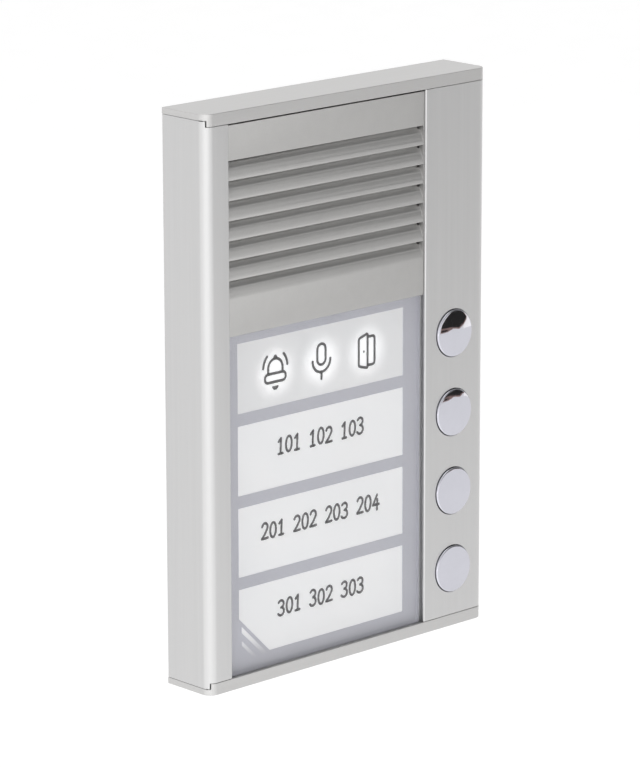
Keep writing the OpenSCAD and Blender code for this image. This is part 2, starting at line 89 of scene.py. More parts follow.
def shade(colour, factor):
    return tuple(min(1.0, channel * factor) for channel in colour)


class Surface:
    """A node material around one Principled shader, with short calls for common textures."""

    def __init__(self, name, roughness=0.5, metallic=0.0, **sockets):
        self.material = bpy.data.materials.new(name)
        self.material.use_nodes = True
        self.tree = self.material.node_tree
        self.shader = self.tree.nodes["Principled BSDF"]
        self.shader.inputs["Roughness"].default_value = roughness
        self.shader.inputs["Metallic"].default_value = metallic
        for socket, value in sockets.items():
            self.shader.inputs[socket.replace("_", " ")].default_value = value
        self.place = self.node("ShaderNodeTexCoord").outputs["Object"]

    def node(self, kind, **settings):
        """A new node; a setting is one of its properties or, if it has none such, a socket."""
        made = self.tree.nodes.new(kind)
        for key, value in settings.items():
            if hasattr(made, key):
                setattr(made, key, value)
            else:
                made.inputs[key.replace("_", " ")].default_value = value
        return made

    def link(self, output, target):
        self.tree.links.new(output, target)

    def feed(self, socket, value):
        """Links an output to a socket, or sets the socket to a plain value."""
        if isinstance(value, bpy.types.NodeSocket):
            self.link(value, socket)
        else:
            socket.default_value = value

    def stretched(self, scale):
        mapping = self.node("ShaderNodeMapping")
        mapping.inputs["Scale"].default_value = scale
        self.link(self.place, mapping.inputs["Vector"])
        return mapping.outputs["Vector"]

    def noise(self, scale, detail=3.0):
        """Noise whose features are about 1 / scale metres along each axis."""
        vector = scale if isinstance(scale, (tuple, list)) else (scale,) * 3
        texture = self.node("ShaderNodeTexNoise", Scale=1.0, Detail=detail)
        self.link(self.stretched(vector), texture.inputs["Vector"])
        return texture.outputs["Fac"]

    def voronoi(self, scale):
        """Distance to the middle of cells about 1 / scale metres wide."""
        texture = self.node("ShaderNodeTexVoronoi", Scale=1.0)
        self.link(self.stretched((scale,) * 3), texture.inputs["Vector"])
        return texture.outputs["Distance"]

    def ramp(self, value, low, high, start=0.0, end=1.0, smooth=False):
        """value from low..high turned into start..end."""
        made = self.node("ShaderNodeMapRange")
        if smooth:
            made.interpolation_type = "SMOOTHSTEP"
        numbers = {"From Min": low, "From Max": high, "To Min": start, "To Max": end}
        for key, number in numbers.items():
            made.inputs[key].default_value = number
        self.link(value, made.inputs["Value"])
        return made.outputs["Result"]

    def math(self, operation, a, b=None):
        made = self.node("ShaderNodeMath", operation=operation)
        self.feed(made.inputs[0], a)
        if b is not None:
            self.feed(made.inputs[1], b)
        return made.outputs[0]

    def blend(self, a, b, share):
        """share of a, and the rest of b."""
        return self.math("ADD", self.math("MULTIPLY", a, share), self.math("MULTIPLY", b, 1 - share))

    def mix(self, factor, colour_a, colour_b):
        """colour_a to colour_b; in a Mix node, sockets 6 and 7 in and 2 out are the colours."""
        made = self.node("ShaderNodeMix", data_type="RGBA")
        for socket, value in ((made.inputs[6], colour_a), (made.inputs[7], colour_b)):
            self.feed(socket, (*value, 1.0) if isinstance(value, tuple) else value)
        self.link(factor, made.inputs[0])
        return made.outputs[2]

    def colour(self, output):
        self.link(output, self.shader.inputs["Base Color"])

    def tint(self, value, low, high, colour, start, end):
        """Base colour from start to end times colour, as value goes from low to high."""
        self.colour(self.mix(self.ramp(value, low, high), shade(colour, start), shade(colour, end)))

    def rough(self, output):
        self.link(output, self.shader.inputs["Roughness"])

    def glow(self, strength, colour=WHITE):
        self.shader.inputs["Emission Color"].default_value = (*colour, 1.0)
        self.feed(self.shader.inputs["Emission Strength"], strength)

    def bump(self, height, strength, distance, below=None):
        made = self.node("ShaderNodeBump", Strength=strength, Distance=distance)
        self.link(height, made.inputs["Height"])
        if below is not None:
            self.link(below, made.inputs["Normal"])
        self.link(made.outputs["Normal"], self.shader.inputs["Normal"])
        return made.outputs["Normal"]


def streaked_metal(name, colour, roughness, along=2, spread=0.028):
    """Extruded or rolled metal: fine streaks along one axis, with an anodised grain."""
    s = Surface(name, roughness, 1.0)
    fine = [5200.0] * 3
    fine[along] = 30.0
    broad = [700.0] * 3
    broad[along] = 9.0
    streaks = s.noise(fine, 2.0)
    bands = s.noise(broad, 2.0)
    grain = s.noise(14000.0, 1.0)
    s.tint(s.blend(streaks, bands, 0.6), 0.3, 0.7, colour, 1 - spread, 1 + spread)
    s.rough(s.ramp(streaks, 0.25, 0.75, roughness - 0.04, roughness + 0.06))
    lined = s.bump(streaks, 0.25, 0.01 * MM)
    s.bump(grain, 0.2, 0.008 * MM, lined)
    return s.material


def blasted_metal(name, colour, roughness):
    """Bead-blasted and anodised metal: an even, fine, slightly sparkling grain."""
    s = Surface(name, roughness, 0.9)
    grain = s.noise(3600.0)
    cloud = s.noise(220.0, 2.0)
    s.tint(s.blend(grain, cloud, 0.75), 0.35, 0.65, colour, 0.955, 1.045)
    s.rough(s.ramp(grain, 0.3, 0.7, roughness - 0.05, roughness + 0.07))
    s.bump(grain, 0.3, 0.02 * MM)
    return s.material


def moulded(name, colour, roughness, grain=2600.0, depth=0.02 * MM):
    """Moulded plastic or rubber: a fine spark-eroded grain and slow tone changes."""
    s = Surface(name, roughness)
    slow = s.noise(60.0, 2.0)
    texture = s.noise(grain)
    s.tint(slow, 0.3, 0.7, colour, 0.9, 1.12)
    s.rough(s.ramp(texture, 0.3, 0.7, roughness - 0.06, roughness + 0.08))
    s.bump(texture, 0.35, depth)
    return s.material


def turned_metal(name, colour, roughness=0.3):
    """Small machined or plated parts: scattered fine scratches and a little tarnish."""
    s = Surface(name, roughness, 1.0)
    tarnish = s.noise(400.0, 4.0)
    scratch = s.noise((9000.0, 1500.0, 9000.0), 2.0)
    s.tint(tarnish, 0.35, 0.75, colour, 1.0, 0.75)
    s.rough(s.ramp(scratch, 0.3, 0.7, roughness - 0.08, roughness + 0.12))
    s.bump(scratch, 0.2, 0.005 * MM)
    return s.material


def foam(name, colour):
    s = Surface(name, 0.85)
    cells = s.voronoi(2400.0)
    s.tint(cells, 0.1, 0.8, colour, 0.6, 1.5)
    s.bump(cells, 0.6, 0.08 * MM)
    return s.material


def woven(name, colour, pitch):
    """A plain weave in the X-Z plane that repeats every pitch."""
    s = Surface(name, 0.9)
    turn = 2 * math.pi / pitch
    split = s.node("ShaderNodeSeparateXYZ")
    s.link(s.place, split.inputs[0])
    warp = s.math("SINE", s.math("MULTIPLY", split.outputs["X"], turn))
    weft = s.math("SINE", s.math("MULTIPLY", split.outputs["Z"], turn))
    weave = s.math("MULTIPLY", warp, weft)
    s.tint(weave, -1, 1, colour, 0.4, 2.2)
    s.bump(weave, 0.6, 0.06 * MM)
    return s.material


def polished_chrome(name):
    """Bright chrome plate: very low roughness with faint wiping marks."""
    s = Surface(name, 0.03, 1.0)
    wipes = s.noise((1200.0, 300.0, 260.0), 2.0)
    film = s.noise(180.0, 2.0)
    s.tint(film, 0.3, 0.7, CHROME, 1.0, 0.97)
    s.rough(s.ramp(wipes, 0.45, 0.8, 0.02, 0.06))
    return s.material


def clear_acrylic(name):
    """A clear pane, a little rough, so that it mirrors its surroundings only softly."""
    s = Surface(name, 0.15, Transmission_Weight=1.0, IOR=1.49)
    haze = s.noise(90.0, 2.0)
    s.colour(s.mix(s.ramp(haze, 0.3, 0.7), (0.985, 0.985, 0.99), (0.97, 0.975, 0.985)))
    s.rough(s.ramp(s.noise(2500.0, 2.0), 0.5, 0.8, 0.14, 0.17))
    return s.material


def printed_foil(name, colour):
    """Satin printed foil with a fine screen-print mottle, and a faint painted glow that lifts its
    shade.
    """
    s = Surface(name, 0.45)
    # painted glow: lightens the foil where it lies in shade
    s.glow(FOIL_PAINTED_GLOW, colour)
    mottle = s.noise(5200.0, 2.0)
    slow = s.noise(35.0, 2.0)
    s.tint(s.blend(mottle, slow, 0.4), 0.3, 0.7, colour, 0.965, 1.03)
    s.bump(mottle, 0.2, 0.01 * MM)
    return s.material


def backlit_film(name, glow, centres=()):
    """White label film: paper fibre, an even glow from behind, and a halo round each centre."""
    s = Surface(name, 0.6)
    fibre = s.noise((3800.0, 3800.0, 1700.0), 4.0)
    s.tint(fibre, 0.3, 0.7, FILM, 1.0, 0.975)
    s.bump(fibre, 0.15, 0.01 * MM)
    total = s.ramp(s.noise(28.0, 1.0), 0.2, 0.8, glow * 0.93, glow * 1.07)
    for centre in centres:
        away = s.node("ShaderNodeVectorMath", operation="DISTANCE")
        s.link(s.place, away.inputs[0])
        away.inputs[1].default_value = centre
        halo = s.ramp(away.outputs["Value"], HALO * HALO_CORE, HALO, HALO_LIFT, 0.0, True)
        total = s.math("ADD", total, halo)
    s.glow(total)
    return s.material


def printed_ink(name, colour):
    s = Surface(name, 0.55)
    dots = s.noise(6000.0, 2.0)
    s.tint(dots, 0.3, 0.7, colour, 0.8, 1.25)
    s.bump(dots, 0.1, 0.01 * MM)
    return s.material


def stripe_print(name, bottom, top):
    """White print that fades into the foil's grey from top down to bottom."""
    s = Surface(name, 0.5)
    split = s.node("ShaderNodeSeparateXYZ")
    s.link(s.place, split.inputs[0])
    fade = s.ramp(split.outputs["Z"], bottom, top)
    s.colour(s.mix(fade, (0.6, 0.6, 0.65), (0.82, 0.82, 0.84)))
    s.glow(s.ramp(fade, 0.0, 1.0, 0.08, 0.36))
    s.bump(s.noise(5000.0), 0.1, 0.01 * MM)
    return s.material


def board_laminate(name):
    """Green solder mask over copper traces, on woven glass."""
    s = Surface(name, 0.35)
    weave = s.noise(1800.0, 2.0)
    brick = s.node("ShaderNodeTexBrick", Scale=1.0, Mortar_Size=0.06, Brick_Width=1.4,
                   Row_Height=0.45)
    upright = s.node("ShaderNodeMapping")
    upright.inputs["Rotation"].default_value = (math.pi / 2, 0.0, 0.0)
    upright.inputs["Scale"].default_value = (300.0, 300.0, 300.0)
    s.link(s.place, upright.inputs["Vector"])
    s.link(upright.outputs["Vector"], brick.inputs["Vector"])
    traces = s.mix(brick.outputs["Fac"], (0.015, 0.12, 0.05), (0.04, 0.24, 0.1))
    s.colour(s.mix(s.ramp(weave, 0.3, 0.7, 0.0, 0.35), traces, (0.01, 0.08, 0.03)))
    s.bump(brick.outputs["Fac"], 0.3, 0.03 * MM)
    return s.material


def paint(material, *nodes):
    """Gives CAD nodes, which keep their shape, a material."""
    for node in nodes:
        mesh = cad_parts[node].data
        mesh.materials.clear()
        mesh.materials.append(material)


# ---------------------------------------------------------------- mesh tools

WELD = 0.002 * MM        # vertices nearer than this are one
FLAT = 0.1               # degrees; an edge that turns less is no edge
SHARP = 28               # degrees; an edge that turns more is rounded
LONG_EDGE = 20 * MM      # an upright edge past this may have a rounding of its own
LATHE_STEPS = 96
LATHE_SHARP = 50         # degrees; a turned piece is shaded smooth below this
COIL_SHARP = 60          # degrees, likewise


def linked(name, data):
    """A new object in the scene."""
    made = bpy.data.objects.new(name, data)
    bpy.context.scene.collection.objects.link(made)
    return made


def as_mesh(name, bm):
    """What bm holds as a mesh; bm is used up."""
    mesh = bpy.data.meshes.new(name)
    bm.to_mesh(mesh)
    bm.free()
    return mesh


def new_piece(name, bm, material, body="panel", replaces=()):
    """Makes a named piece that rides on a body."""
    bmesh.ops.recalc_face_normals(bm, faces=bm.faces)
    piece = linked(name, as_mesh(name, bm))
    piece.data.materials.append(material)
    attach(piece, body)
    if replaces:
        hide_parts(*replaces)
    return piece


def smooth_by_angle(mesh, degrees):
    mesh.polygons.foreach_set("use_smooth", [True] * len(mesh.polygons))
    mesh.set_sharp_from_angle(angle=math.radians(degrees))


def softened(node, width, material, long_width=None, segments=2, cuts=()):
    """Makes a copy of a CAD node with its sharp edges rounded, which stands for the node.

    long_width, if given, rounds the long upright edges more than the rest. cuts are places
    along X where a face is divided, so that a long edge has a plain face beside it.
    """
    bm = bmesh.new()
    bm.from_mesh(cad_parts[node].data)
    bmesh.ops.remove_doubles(bm, verts=bm.verts, dist=WELD)
    for x in cuts:
        parts = list(bm.verts) + list(bm.edges) + list(bm.faces)
        cut = bmesh.ops.bisect_plane(bm, geom=parts, plane_co=(x, 0, 0), plane_no=(1, 0, 0))
        for edge in cut["geom_cut"]:
            if isinstance(edge, bmesh.types.BMEdge):
                edge.seam = True
    bmesh.ops.dissolve_limit(bm, angle_limit=math.radians(FLAT), verts=bm.verts, edges=bm.edges,
                             delimit={"SEAM"})
    widest = max(width, long_width or 0.0)
    weight = bm.edges.layers.float.new("bevel_weight_edge")
    for edge in bm.edges:
        if len(edge.link_faces) != 2 or edge.calc_face_angle() < math.radians(SHARP):
            continue
        along = edge.verts[1].co - edge.verts[0].co
        upright = long_width and abs(along.z) > LONG_EDGE
        edge[weight] = (long_width if upright else width) / widest
    piece = new_piece(node + "_soft", bm, material, replaces=[node])
    bevel = piece.modifiers.new("edges", "BEVEL")
    bevel.width = widest
    bevel.segments = segments
    bevel.limit_method = "WEIGHT"
    bevel.harden_normals = True
    bevel.use_clamp_overlap = False
    smooth_by_angle(piece.data, SHARP)
    bpy.context.view_layer.update()
    evaluated = piece.evaluated_get(bpy.context.evaluated_depsgraph_get())
    made = bpy.data.meshes.new_from_object(evaluated)
    piece.modifiers.clear()
    piece.data = made


def circle(steps):
    """Angles once round, in radians."""
    return [2 * math.pi * k / steps for k in range(steps)]


def lathe(name, centre, profile, material, body, replaces):
    """A solid of revolution about an axis along Y: profile points are (radius, y)."""
    bm = bmesh.new()
    rings = []
    for radius, y in profile:
        angles = circle(LATHE_STEPS) if radius > 0 else [0.0]
        rings.append([bm.verts.new((centre[0] + radius * math.cos(a), y,
                                    centre[1] + radius * math.sin(a))) for a in angles])
    for ring, following in zip(rings, rings[1:]):
        for k in range(LATHE_STEPS):
            corners = (ring[k % len(ring)], ring[(k + 1) % len(ring)],
                       following[(k + 1) % len(following)], following[k % len(following)])
            bm.faces.new(list(dict.fromkeys(corners)))
    piece = new_piece(name, bm, material, body, replaces)
    smooth_by_angle(piece.data, LATHE_SHARP)


def middle(node):
    """X and Z of the middle of a CAD node's box."""
    low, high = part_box(node)
    return (low.x + high.x) / 2, (low.z + high.z) / 2


# ---------------------------------------------------------------- flat prints

PRINT = 0.02 * MM        # thickness of printed ink
END_STEPS = 8            # in the round end of a pen stroke


def arc(cx, cz, rx, rz, start, end, steps=14):
    """Points on an ellipse's arc, angles in degrees from +X towards +Z."""
    turn = [math.radians(start + (end - start) * k / steps) for k in range(steps + 1)]
    return [(cx + rx * math.cos(a), cz + rz * math.sin(a)) for a in turn]


def rounded(points, radius, closed=False, steps=5):
    """A polyline with its corners rounded off."""
    out = []
    n = len(points)
    for k, p in enumerate(points):
        here = Vector(p)
        if not closed and k in (0, n - 1):
            out.append(tuple(here))
            continue
        before = Vector(points[k - 1]) - here
        after = Vector(points[(k + 1) % n]) - here
        reach = min(radius, before.length / 2, after.length / 2)
        a = here + before.normalized() * reach
        b = here + after.normalized() * reach
        for t in (j / steps for j in range(steps + 1)):
            q = a * (1 - t) ** 2 + here * (2 * t * (1 - t)) + b * t ** 2
            out.append(tuple(q))
    return out


def placed(points, centre):
    """Points given in millimetres from a centre."""
    return [(centre[0] + x * MM, centre[1] + z * MM) for x, z in points]


def fan(centre, side):
    """Half-circle round centre from +side to -side, turning anticlockwise in X-Z."""
    turned = Vector((-side[1], side[0]))
    return [centre + side * math.cos(a) + turned * math.sin(a)
            for a in (math.pi * j / END_STEPS for j in range(END_STEPS + 1))]


def stroke_into(bm, points, width, face, closed=False):
    """Adds a flat pen stroke along points, on a face in the X-Z plane, with round ends."""
    path = [Vector(p) for p in points]
    n = len(path)
    left, right = [], []
    for k, p in enumerate(path):
        ahead = path[(k + 1) % n] if closed or k < n - 1 else p
        behind = path[k - 1] if closed or k > 0 else p
        along = (ahead - behind).normalized()
        side = Vector((-along[1], along[0])) * width / 2
        left.append(p + side)
        right.append(p - side)
    if not closed:
        head = fan(path[0], left[0] - path[0])
        tail = fan(path[-1], right[-1] - path[-1])
        prism_into(bm, head + right[1:-1] + tail + list(reversed(left[1:-1])), face)
        return
    front = face - PRINT
    rows = [[bm.verts.new((p[0], y, p[1]))
             for p, y in ((a, front), (b, front), (b, face), (a, face))]
            for a, b in zip(left, right)]
    for row, following in zip(rows, rows[1:] + rows[:1]):
        for j in range(4):
            bm.faces.new((row[j], row[(j + 1) % 4], following[(j + 1) % 4], following[j]))


def prism_into(bm, outline, face):
    """Adds a filled outline, on a face in the X-Z plane."""
    front = [bm.verts.new((p[0], face - PRINT, p[1])) for p in outline]
    back = [bm.verts.new((p[0], face, p[1])) for p in outline]
    bm.faces.new(front)
    bm.faces.new(list(reversed(back)))
    n = len(outline)
    for k in range(n):
        bm.faces.new((front[k], front[(k + 1) % n], back[(k + 1) % n], back[k]))


# ---------------------------------------------------------------- stage

LENS, SENSOR = 196.16, 36.0                      # millimetres
YAW, PITCH, ROLL = 43.569, 14.265, -0.106        # degrees
CAMERA_TARGET = Vector((-4.18, -10.0, -2.93)) * MM
CAMERA_DISTANCE = 1296.9 * MM

WORLD = 0.95
WORLD_DIM = 0.05
DIM_HEADING = (0.64, -0.67, 0.36)                # towards the middle of the world's dim part
DIM_EDGE, DIM_CORE = 0.64, 0.99                  # cosine to it where it begins, where it is full

FLOOR_REACH = 8.0
FLOOR_LEVEL = -0.6
LIT_HEADING = (-0.69, -0.72, 0.0)                # towards the brighter side of the floor
LIT_EDGE, LIT_CORE = 0.15, 0.4                   # cosine to it, likewise

MIRROR_AZIMUTH = 43.6                            # degrees from -Y towards +X
CARD_DISTANCE = 1.15
CARD_STEP = 0.02                                 # from one card to the card behind it

# Outlines of the stage cards, as (azimuth, elevation) in degrees seen from the first button.
# They make the mirror image in the upper two caps: a dark room with a brown rim and a small
# dark patch below it, and a pale wall to its right.
DARK_ROOM = ((-4.0, -12.1), (-0.7, -12.1), (1.5, -12.3), (2.9, -12.5), (4.4, -11.9),
             (5.3, -11.0), (5.6, -10.3), (5.0, -9.4), (4.6, -4), (0.4, -4), (-0.6, -7.5),
             (-2.2, -9.6), (-3.6, -11.2))
DARK_PATCH = ((-3.9, -12.95), (-1.4, -12.85), (-0.9, -12.6), (-2.2, -12.45), (-3.8, -12.55))
BROWN_RIM = ((-4.2, -13.15), (-1.2, -13.0), (0.8, -12.5), (3.1, -12.8), (4.7, -12.1),
             (5.6, -11.2), (5.9, -10.3), (5.3, -9.2), (4.6, -4), (0.4, -4), (-0.7, -7.5),
             (-2.4, -9.6), (-3.8, -11.2))
PALE_WALL = ((4.6, -12.9), (9.5, -12.6), (9.5, -9.5), (5.0, -9.0))


def make_camera():
    data = bpy.data.cameras.new("camera")
    data.lens = LENS
    data.sensor_width = SENSOR
    data.clip_end = 50.0
    camera = linked("camera", data)
    yaw, pitch = math.radians(YAW), math.radians(PITCH)
    ahead = Vector((math.sin(yaw) * math.cos(pitch), math.cos(yaw) * math.cos(pitch),
                    -math.sin(pitch)))
    camera.location = CAMERA_TARGET - ahead * CAMERA_DISTANCE
    camera.rotation_euler = ahead.to_track_quat("-Z", "Y").to_euler()
    camera.rotation_euler.rotate_axis("Z", math.radians(ROLL))
    bpy.context.scene.camera = camera


def make_world():
    """White surroundings, with a dim room above the horizon at the right front."""
    world = bpy.data.worlds.new("studio")
    world.use_nodes = True
    tree = world.node_tree
    background = tree.nodes["Background"]
    direction = tree.nodes.new("ShaderNodeTexCoord").outputs["Generated"]

    cosine = tree.nodes.new("ShaderNodeVectorMath")
    cosine.operation = "DOT_PRODUCT"
    cosine.inputs[1].default_value = Vector(DIM_HEADING).normalized()
    tree.links.new(direction, cosine.inputs[0])
    dim = tree.nodes.new("ShaderNodeMapRange")
    numbers = {"From Min": DIM_EDGE, "From Max": DIM_CORE, "To Min": WORLD, "To Max": WORLD_DIM}
    for key, number in numbers.items():
        dim.inputs[key].default_value = number
    tree.links.new(cosine.outputs["Value"], dim.inputs["Value"])
    tree.links.new(dim.outputs["Result"], background.inputs["Strength"])
    background.inputs["Color"].default_value = (*WHITE, 1.0)
    bpy.context.scene.world = world
    bpy.context.scene.view_settings.view_transform = "Standard"


def stage_sheet(name, corners, material):
    """A flat sheet that isn't part of the object."""
    bm = bmesh.new()
    bm.faces.new([bm.verts.new(corner) for corner in corners])
    sheet = linked(name, as_mesh(name, bm))
    sheet.data.materials.append(material)
    return sheet


def make_floor():
    s = Surface("pale_floor", 0.9)
    speck = s.noise(20.0, 2.0)
    s.colour(s.mix(s.ramp(speck, 0.3, 0.7), (0.86, 0.86, 0.86), (0.88, 0.88, 0.88)))
    heading = s.node("ShaderNodeVectorMath", operation="NORMALIZE")
    s.link(s.place, heading.inputs[0])
    cosine = s.node("ShaderNodeVectorMath", operation="DOT_PRODUCT")
    s.link(heading.outputs["Vector"], cosine.inputs[0])
    cosine.inputs[1].default_value = LIT_HEADING
    s.glow(s.ramp(cosine.outputs["Value"], LIT_EDGE, LIT_CORE, FLOOR_GLOW,
                  FLOOR_GLOW + FLOOR_LIT, True))
    corners = [(x * FLOOR_REACH, y * FLOOR_REACH, FLOOR_LEVEL)
               for x, y in ((-1, -1), (1, -1), (1, 1), (-1, 1))]
    stage_sheet("floor", corners, s.material)


def seen_from(origin, azimuth, elevation, distance):
    """The point in a direction from origin, at a level distance; azimuth 0 is the mirrored view."""
    around = math.radians(MIRROR_AZIMUTH) + math.radians(azimuth)
    flat = Vector((math.sin(around), -math.cos(around), math.tan(math.radians(elevation))))
    return origin + flat * distance


def make_card(name, outline, distance, material):
    """A stage card that shows in reflections only."""
    x, z = middle("call_button_1")
    origin = Vector((x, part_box("call_button_1")[0].y, z))
    corners = [seen_from(origin, azimuth, elevation, distance) for azimuth, elevation in outline]
    stage_sheet(name, corners, material).visible_camera = False


def make_light(name, place, size, watts):
    """A rectangular lamp, aimed at the object, that the camera doesn't see."""
    data = bpy.data.lights.new(name, "AREA")
    data.shape = "RECTANGLE"
    data.size, data.size_y = size
    data.energy = watts
    lamp = linked(name, data)
    lamp.location = place
    lamp.rotation_euler = (-Vector(place)).to_track_quat("-Z", "Y").to_euler()
    lamp.visible_camera = False


def make_stage():
    make_world()
    make_floor()
    dark = moulded("dark_room", (0.010, 0.009, 0.008), 0.9)
    brown = moulded("brown_fringe", (0.40, 0.27, 0.24), 0.9)
    pale = Surface("pale_wall", 0.9)
    pale.glow(PALE_GLOW, (1.0, 0.97, 0.88))
    make_card("dark_card", DARK_ROOM, CARD_DISTANCE, dark)
    make_card("dark_blob", DARK_PATCH, CARD_DISTANCE, dark)
    make_card("brown_card", BROWN_RIM, CARD_DISTANCE + CARD_STEP, brown)
    make_card("pale_card", PALE_WALL, CARD_DISTANCE + 2 * CARD_STEP, pale.material)
    make_light("softbox", place=(-2.0, -2.0, 0.1), size=(3.4, 2.0), watts=9.0)
    make_light("top_box", place=(0.0, 0.2, 2.6), size=(1.6, 1.6), watts=12.0)


# ---------------------------------------------------------------- shell and window

STRIP_WIDTH = 26.9 * MM          # of the button strip, from the housing's right side
EDGE_BAND = 2.0 * MM             # plain band kept along the strip's left edge

HOUSING_EDGE = 0.12 * MM         # widths of the rounding on edges
HOUSING_LONG_EDGE = 0.45 * MM
END_CAP_EDGE = 0.18 * MM
GRILLE_EDGE = 0.08 * MM
PANE_EDGE = 0.2 * MM


def make_shell():
    metal = streaked_metal("anodised_aluminium", ALUMINIUM, 0.34)
    cap_metal = streaked_metal("cap_aluminium", CAP_METAL, 0.42, along=0, spread=0.03)
    grille_metal = blasted_metal("grille_aluminium", GRILLE_METAL, 0.44)
    strip_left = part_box("housing_profile")[1].x - STRIP_WIDTH
    softened("housing_profile", HOUSING_EDGE, metal,
             long_width=HOUSING_LONG_EDGE, segments=4, cuts=(strip_left + EDGE_BAND,))
    for cap in ("top_cap", "bottom_cap"):
        softened(cap, END_CAP_EDGE, cap_metal)
    softened("speaker_grille", GRILLE_EDGE, grille_metal)


def make_window():
    softened("window_pane", PANE_EDGE, clear_acrylic("clear_acrylic"))
    paint(printed_foil("grey_foil", FOIL), "label_mask")


# ---------------------------------------------------------------- labels

LABELS = ("icon_label", *[f"name_label_{i}" for i in NAMES])
MARGIN = 1.2 * MM                # how far a film reaches behind the foil
label_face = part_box("icon_label")[0].y
mask_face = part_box("label_mask")[0].y

ICON_PITCH = 19.4 * MM
ICON_DROP = 0.35 * MM            # of the symbols below the middle of their field
ICON_PEN = 0.95 * MM
TEXT_PEN = 0.86 * MM
TEXT_DROP = 0.8 * MM             # of the digits' feet below the middle of their field

DIGITS = {                       # pen strokes in millimetres from the digit's lower left corner
    "0": [arc(1.3, 2.5, 1.2, 2.4, 90, 438, 28)],
    "1": [[(0.4, 3.9), (0.9, 4.4), (1.4, 4.9)], [(1.4, 4.9), (1.35, 2.5), (1.35, 0.1)],
          [(0.5, 0.1), (1.35, 0.1), (2.2, 0.15)]],
    "2": [arc(1.25, 3.6, 1.15, 1.3, 165, -28, 12) + [(1.2, 1.3), (0.1, 0.15)],
          [(0.1, 0.15), (1.3, 0.1), (2.6, 0.2)]],
    "3": [arc(1.1, 3.75, 1.15, 1.15, 150, -85, 12), arc(1.15, 1.3, 1.3, 1.3, 88, -150, 14)],
    "4": [[(1.8, 4.9), (1.0, 3.3), (0.1, 1.65)], [(0.1, 1.65), (1.3, 1.7), (2.7, 1.65)],
          [(1.95, 3.3), (1.9, 1.6), (1.9, 0.0)]],
}
DIGIT_STEP = 3.45 * MM
GAP_STEP = 3.2 * MM
SLANT = 0.04
HAND_LIFT = 0.15                 # millimetres by which a hand-written digit strays up or down
HAND_STRETCH = (0.97, 1.05)
FLATS = (3, 4, 3)                # flats named on each label

CUT_CORNER = 12.7 * MM           # leg of the lowest field's cut corner, as in the CAD
STRIPES = ((2.2 * MM, 4.1 * MM), (6.7 * MM, 8.2 * MM))       # from the cut to a stripe's edges
STRIPE_SHIFT = 0.1 * MM          # of the stripes' corner, right and down from the field's
STRIPE_FADE = 8 * MM             # height over which they fade


def icon_centres():
    x, z = middle("icon_label")
    return [(x + k * ICON_PITCH, z - ICON_DROP) for k in (-1, 0, 1)]


def make_icons(ink):
    """Ringing bell, microphone and opening door, drawn in millimetres from each one's centre."""
    bell, microphone, door = icon_centres()
    bm = bmesh.new()

    def draw(points, centre, closed=False):
        stroke_into(bm, placed(points, centre), ICON_PEN, label_face, closed)

    def fill(outline, centre):
        prism_into(bm, placed(outline, centre), label_face)

    draw([(-3.0, -0.35)] + arc(0, 1.2, 3.0, 3.0, 180, 0) + [(3.0, -0.35)], bell)
    brim = rounded([(-4.3, -0.4), (4.3, -0.4), (4.3, -3.1), (-4.3, -3.1)], 1.35, True)
    draw(brim, bell, True)
    fill(arc(0, 4.75, 0.8, 0.7, 0, 348, 20), bell)
    fill(arc(0, -4.35, 1.4, 1.35, 180, 360, 16), bell)
    for side in (-1, 1):
        draw([(side * x, z) for x, z in arc(0.2, 1.1, 4.85, 5.6, 6, 48, 8)], bell)

    capsule = arc(0, 3.75, 1.75, 1.75, 0, 180) + arc(0, 0.65, 1.75, 1.75, 180, 360)
    draw(capsule, microphone, True)
    draw(arc(0, 0.35, 3.75, 3.75, 180, 360, 24), microphone)
    draw([(0, -3.4), (0, -4.4), (0, -5.6)], microphone)

    leaf = rounded([(-3.4, 4.3), (0.4, 5.5), (0.4, -5.6), (-3.4, -4.5)], 0.6, True)
    draw(leaf, door, True)
    draw(rounded([(0.7, 4.4), (3.4, 4.4), (3.4, -4.7), (0.7, -4.7)], 1.0), door)
    fill(arc(-1.2, -0.1, 0.42, 0.5, 0, 340, 14), door)
    new_piece("icon_print", bm, ink)


def make_numbers(ink):
    """Hand-written flat numbers in place of names."""
    random.seed(11)
    for i, flats in zip(NAMES, FLATS):
        text = " ".join(f"{i}0{flat}" for flat in range(1, flats + 1))
        width = sum(GAP_STEP if c == " " else DIGIT_STEP for c in text)
        x, z = middle(f"name_label_{i}")
        x -= width / 2
        z -= TEXT_DROP
        bm = bmesh.new()
        for c in text:
            if c == " ":
                x += GAP_STEP
                continue
            lift = random.uniform(-HAND_LIFT, HAND_LIFT)
            tall = random.uniform(*HAND_STRETCH)
            for points in DIGITS[c]:
                slanted = [(px + SLANT * pz, pz * tall + lift) for px, pz in points]
                stroke_into(bm, placed(slanted, (x, z)), TEXT_PEN, label_face, c == "0")
            x += DIGIT_STEP
        new_piece(f"number_print_{i}", bm, ink)


def make_stripes():
    """Two white diagonal bands printed on the foil below the cut corner of the last field."""
    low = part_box(LABELS[-1])[0]
    field_x, field_z = low.x + MARGIN, low.z + MARGIN
    left, bottom = field_x + STRIPE_SHIFT, field_z - STRIPE_SHIFT
    cut_sum = field_x + field_z + CUT_CORNER         # x + z along the cut
    bm = bmesh.new()
    for near, far in STRIPES:
        a, b = cut_sum - near, cut_sum - far
        outline = [(left, a - left), (left, b - left), (b - bottom, bottom), (a - bottom, bottom)]
        prism_into(bm, outline, mask_face)
    white = stripe_print("stripe_print", bottom, bottom + STRIPE_FADE)
    new_piece("stripe_print", bm, white)


def make_labels():
    halos = [(x, label_face, z) for x, z in icon_centres()]
    paint(backlit_film("icon_film", ICON_GLOW, halos), LABELS[0])
    paint(backlit_film("name_film", NAME_GLOW), *LABELS[1:])
    make_icons(printed_ink("printed_ink", INK))
    make_numbers(printed_ink("pen_ink", PEN_INK))
    make_stripes()


# ---------------------------------------------------------------- buttons

